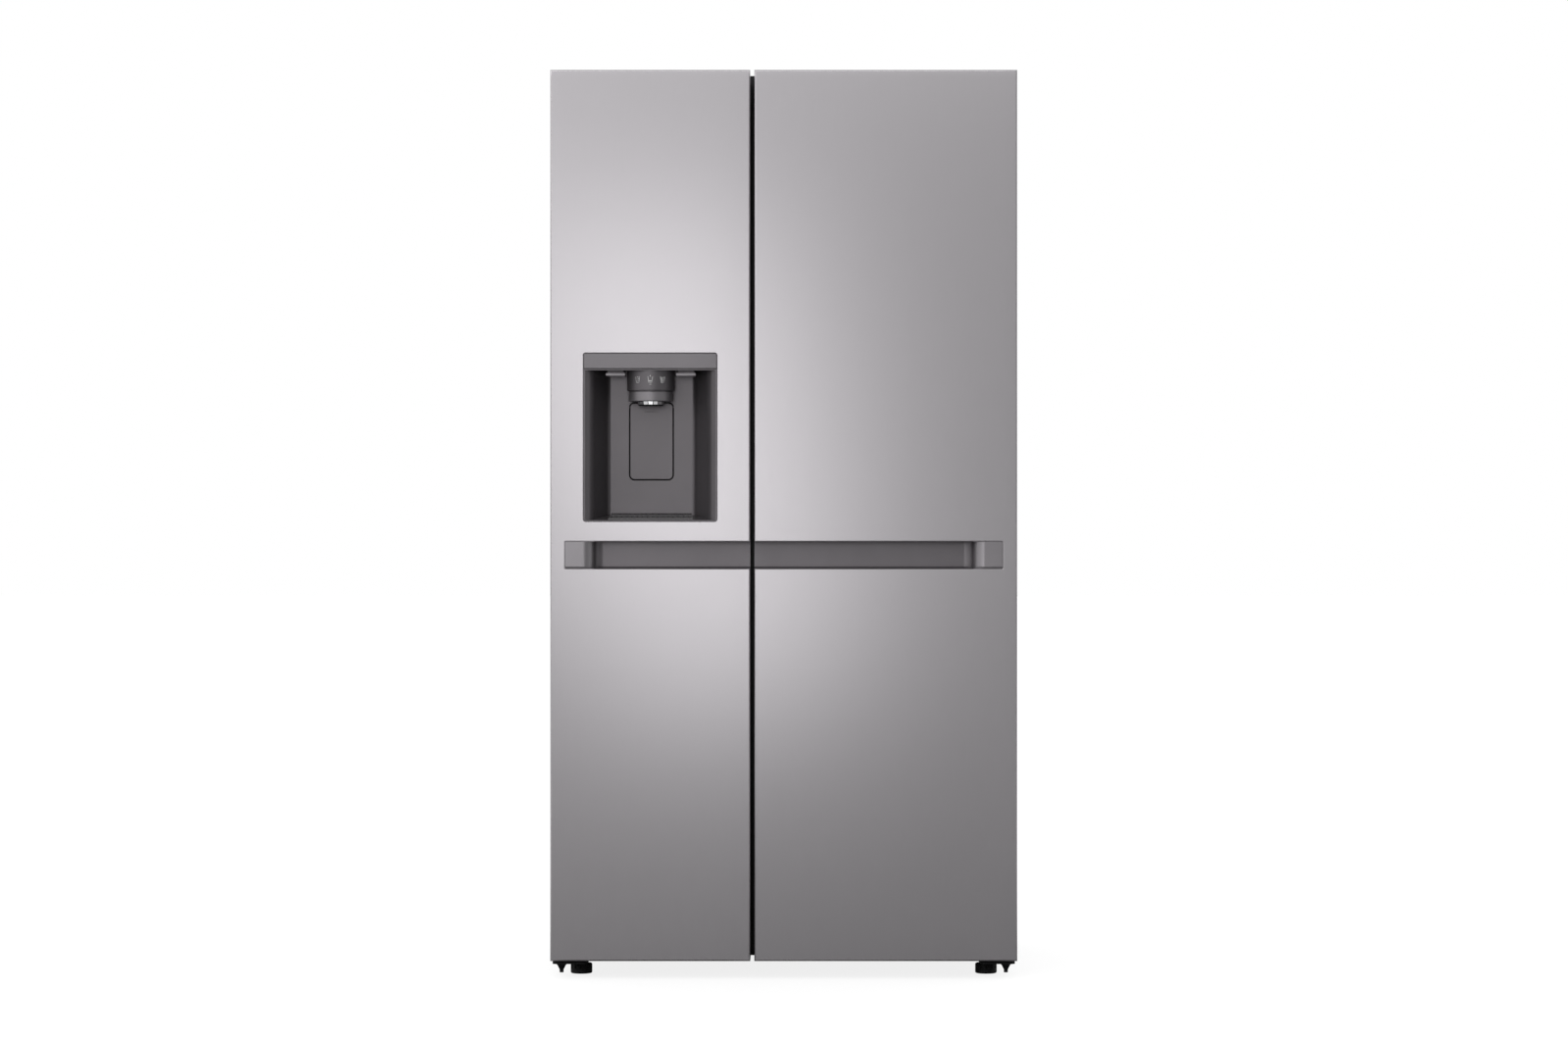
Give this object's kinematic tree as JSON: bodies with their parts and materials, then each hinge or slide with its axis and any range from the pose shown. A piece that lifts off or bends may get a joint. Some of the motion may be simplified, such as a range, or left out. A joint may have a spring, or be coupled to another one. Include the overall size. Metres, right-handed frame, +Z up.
{
  "type": "side by side refrigerator",
  "caption": "Free-standing side by side refrigerator with a narrow freezer door holding an ice and water dispenser, a wider fridge door, and recessed grips.",
  "frame": {"origin": "on the floor under the middle of the overall box", "axes": "+Z up, -Y towards the doors' front, +X to the right as the doors are faced"},
  "size_m": [0.913, 0.735, 1.79],
  "materials": {
    "door_silver": "satin metallic silver with a very fine brushed grain",
    "case_paint": "fine textured dark grey paint",
    "galvanised_sheet": "plain galvanised sheet",
    "base_black": "satin black paint",
    "foam": "rigid foam, out of sight",
    "liner_white": "satin white vacuum-formed plastic",
    "mullion_grey": "satin dark grey paint",
    "black_plastic": "fine-grained black plastic",
    "hinge_steel": "zinc-plated pressed steel",
    "hinge_black": "black painted steel",
    "pin_steel": "zinc-plated steel",
    "shelf_glass": "clear tempered glass",
    "fin_aluminium": "plain aluminium fins",
    "lamp_lens": "frosted white lens",
    "clear_plastic": "clear polystyrene",
    "compressor_black": "gloss black enamel",
    "black_rubber": "matt black rubber",
    "coil_black": "black painted steel coil",
    "cap_grey": "grey moulded plastic",
    "gasket_grey": "soft grey magnetic seal",
    "grip_grey": "metallic grey moulded plastic",
    "dispenser_grey": "dark metallic grey moulded plastic",
    "fascia_grey": "smooth dark grey plastic",
    "spout_grey": "glossy near-black plastic",
    "nozzle_chrome": "bright chrome",
    "tray_grey": "dark grey moulded plastic",
    "ice_maker_grey": "light grey moulded plastic",
    "fan_white": "white moulded plastic"
  },
  "bodies": {
    "cabinet": {"outer_case": "case_paint", "back_panel": "galvanised_sheet", "base_pan": "base_black", "cabinet_foam": "foam", "freezer_liner": "liner_white", "fridge_liner": "liner_white", "mullion_strip": "mullion_grey", "top_cover": "black_plastic", "upper_hinges": "hinge_steel", "lower_hinge_left": "hinge_black", "lower_hinge_right": "hinge_black", "hinge_covers": "black_plastic", "hinge_pins": "pin_steel", "screws": "pin_steel", "freezer_shelves": "shelf_glass", "fridge_shelves": "shelf_glass", "evaporator_cover": "liner_white", "evaporator": "fin_aluminium", "fridge_duct": "liner_white", "cabinet_lamps": "lamp_lens", "water_tank": "clear_plastic", "compressor": "compressor_black", "rubber_grommets": "black_rubber", "fan_shroud": "black_plastic", "condenser": "coil_black", "drain_pan": "black_plastic", "machine_cover": "galvanised_sheet"},
    "freezer_door": {"freezer_door_skin": "door_silver", "freezer_door_foam": "foam", "freezer_door_liner": "liner_white", "freezer_door_caps": "cap_grey", "freezer_door_gasket": "gasket_grey", "freezer_door_grip": "grip_grey", "freezer_door_bins": "clear_plastic", "dispenser_housing": "dispenser_grey", "dispenser_fascia": "fascia_grey", "dispenser_spout": "spout_grey", "dispenser_nozzle": "nozzle_chrome", "ice_bucket": "clear_plastic", "ice_maker": "ice_maker_grey"},
    "fridge_door": {"fridge_door_skin": "door_silver", "fridge_door_foam": "foam", "fridge_door_liner": "liner_white", "fridge_door_caps": "cap_grey", "fridge_door_gasket": "gasket_grey", "fridge_door_grip": "grip_grey", "fridge_door_bins": "clear_plastic"},
    "dispenser_paddle": {"dispenser_paddle": "dispenser_grey"},
    "drip_tray": {"drip_tray": "tray_grey"},
    "ice_auger": {"ice_auger": "pin_steel"},
    "levelling_foot_left": {"levelling_foot_left": "black_plastic"},
    "levelling_foot_right": {"levelling_foot_right": "black_plastic"},
    "rear_roller_left": {"rear_roller_left": "black_plastic"},
    "rear_roller_right": {"rear_roller_right": "black_plastic"},
    "condenser_fan": {"condenser_fan": "black_plastic"},
    "evaporator_fan": {"evaporator_fan": "fan_white"},
    "lower_freezer_drawer": {"lower_freezer_drawer": "clear_plastic"},
    "upper_freezer_drawer": {"upper_freezer_drawer": "clear_plastic"},
    "lower_crisper": {"lower_crisper": "clear_plastic"},
    "upper_crisper": {"upper_crisper": "clear_plastic"}
  },
  "joints": [
    {"name": "freezer_door_hinge", "type": "hinge", "parent": "cabinet", "child": "freezer_door", "pos_m": [-0.4365, -0.3205, 0.90475], "axis": [0, 0, -1], "range_deg": [0, 120]},
    {"name": "fridge_door_hinge", "type": "hinge", "parent": "cabinet", "child": "fridge_door", "pos_m": [0.4365, -0.3205, 0.90475], "axis": [0, 0, 1], "range_deg": [0, 120]},
    {"name": "paddle_press", "type": "hinge", "parent": "freezer_door", "child": "dispenser_paddle", "pos_m": [-0.261, -0.2855, 1.1184], "axis": [1, 0, 0], "range_deg": [0, 4], "stiffness_Nm_per_rad": 3},
    {"name": "drip_tray_slide", "type": "slide", "parent": "freezer_door", "child": "drip_tray", "axis": [0, -1, 0], "range_m": [0, 0.075]},
    {"name": "ice_auger_turn", "type": "hinge", "parent": "freezer_door", "child": "ice_auger", "pos_m": [-0.2583, -0.2093, 1.334], "axis": [1, 0, 0], "continuous": true},
    {"name": "foot_turn_left", "type": "hinge", "parent": "cabinet", "child": "levelling_foot_left", "pos_m": [-0.4002, -0.2625, 0], "axis": [0, 0, 1], "continuous": true},
    {"name": "foot_turn_right", "type": "hinge", "parent": "cabinet", "child": "levelling_foot_right", "pos_m": [0.4002, -0.2625, 0], "axis": [0, 0, 1], "continuous": true},
    {"name": "roller_turn_left", "type": "hinge", "parent": "cabinet", "child": "rear_roller_left", "pos_m": [-0.3865, 0.3075, 0.0155], "axis": [1, 0, 0], "continuous": true},
    {"name": "roller_turn_right", "type": "hinge", "parent": "cabinet", "child": "rear_roller_right", "pos_m": [0.3865, 0.3075, 0.0155], "axis": [1, 0, 0], "continuous": true},
    {"name": "condenser_fan_turn", "type": "hinge", "parent": "cabinet", "child": "condenser_fan", "pos_m": [0.04, 0.25, 0.1435], "axis": [1, 0, 0], "continuous": true},
    {"name": "evaporator_fan_turn", "type": "hinge", "parent": "cabinet", "child": "evaporator_fan", "pos_m": [-0.24215, 0.2115, 1.54], "axis": [0, 1, 0], "continuous": true},
    {"name": "lower_freezer_drawer_slide", "type": "slide", "parent": "cabinet", "child": "lower_freezer_drawer", "axis": [0, -1, 0], "range_m": [0, 0.03]},
    {"name": "upper_freezer_drawer_slide", "type": "slide", "parent": "cabinet", "child": "upper_freezer_drawer", "axis": [0, -1, 0], "range_m": [0, 0.03]},
    {"name": "lower_crisper_slide", "type": "slide", "parent": "cabinet", "child": "lower_crisper", "axis": [0, -1, 0], "range_m": [0, 0.03]},
    {"name": "upper_crisper_slide", "type": "slide", "parent": "cabinet", "child": "upper_crisper", "axis": [0, -1, 0], "range_m": [0, 0.03]}
  ]
}
